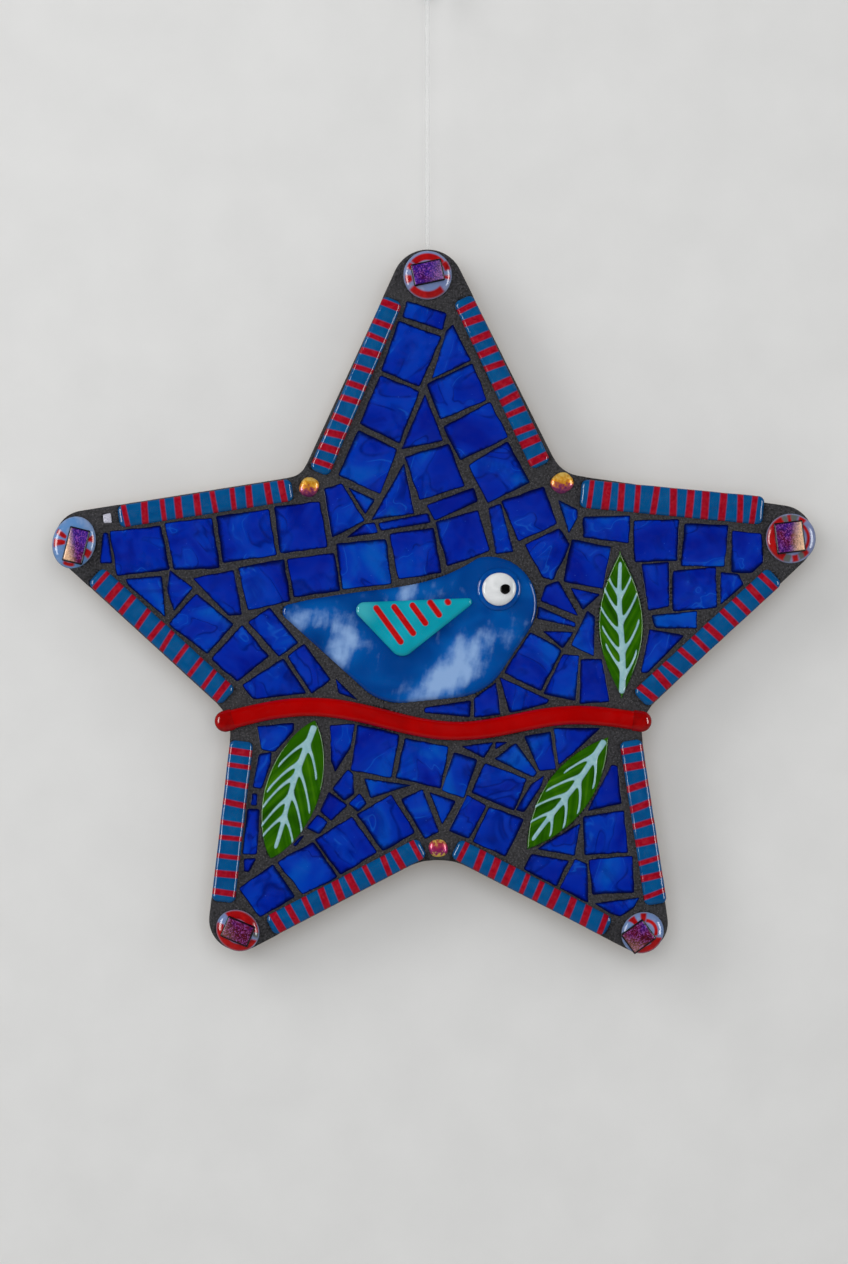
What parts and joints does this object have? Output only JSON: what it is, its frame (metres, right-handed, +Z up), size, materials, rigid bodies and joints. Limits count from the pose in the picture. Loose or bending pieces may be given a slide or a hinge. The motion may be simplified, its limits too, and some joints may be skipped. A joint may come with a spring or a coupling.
{
  "type": "mosaic panel",
  "caption": "Star-shaped glass mosaic wall panel: a blue bird on a red twig with green leaves, striped glass borders and cabochon points, hung from a clear cord loop.",
  "frame": {"origin": "middle of the star on the flat back face that lies against the wall", "axes": "+Z up, +X to the right seen from the front, +Y out of the back face; the picture looks towards -Y"},
  "size_m": [0.3013, 0.0221, 0.4096],
  "materials": {
    "board": "matte",
    "mosaic": "satin",
    "strip_glass": "gloss",
    "cabochon_glass": "gloss",
    "dichroic_glass": "gloss",
    "nugget_glass": "gloss",
    "pale_glass": "gloss",
    "red_glass": "gloss",
    "dark_red_glass": "gloss",
    "bird_glass": "gloss",
    "wing_glass": "gloss",
    "eye_base_glass": "gloss",
    "white_glass": "gloss",
    "black_glass": "gloss",
    "leaf_glass": "gloss",
    "clear_line": "gloss",
    "sleeve_metal": "satin"
  },
  "bodies": {
    "root": {"backing_board": "board", "mosaic_field": "mosaic", "strip_top_left": "strip_glass", "strip_top_right": "strip_glass", "strip_left_upper": "strip_glass", "strip_left_lower": "strip_glass", "strip_right_upper": "strip_glass", "strip_right_lower": "strip_glass", "strip_low_left_outer": "strip_glass", "strip_low_left_inner": "strip_glass", "strip_low_right_outer": "strip_glass", "strip_low_right_inner": "strip_glass", "cabochon_top": "cabochon_glass", "cabochon_left": "cabochon_glass", "cabochon_low_left": "cabochon_glass", "cabochon_low_right": "cabochon_glass", "cabochon_right": "cabochon_glass", "chip_top": "dichroic_glass", "chip_left": "dichroic_glass", "chip_low_left": "dichroic_glass", "chip_low_right": "dichroic_glass", "chip_right": "dichroic_glass", "nugget_upper_left": "nugget_glass", "nugget_upper_right": "nugget_glass", "nugget_bottom": "nugget_glass", "pale_chip": "pale_glass", "twig": "red_glass", "twig_end_left": "dark_red_glass", "twig_end_right": "dark_red_glass", "bird_body": "bird_glass", "bird_wing": "wing_glass", "eye_base": "eye_base_glass", "eye_white": "white_glass", "eye_pupil": "black_glass", "leaf_right": "leaf_glass", "leaf_low_left": "leaf_glass", "leaf_low_right": "leaf_glass", "hanging_cord": "clear_line", "cord_sleeve": "sleeve_metal"}
  },
  "joints": []
}
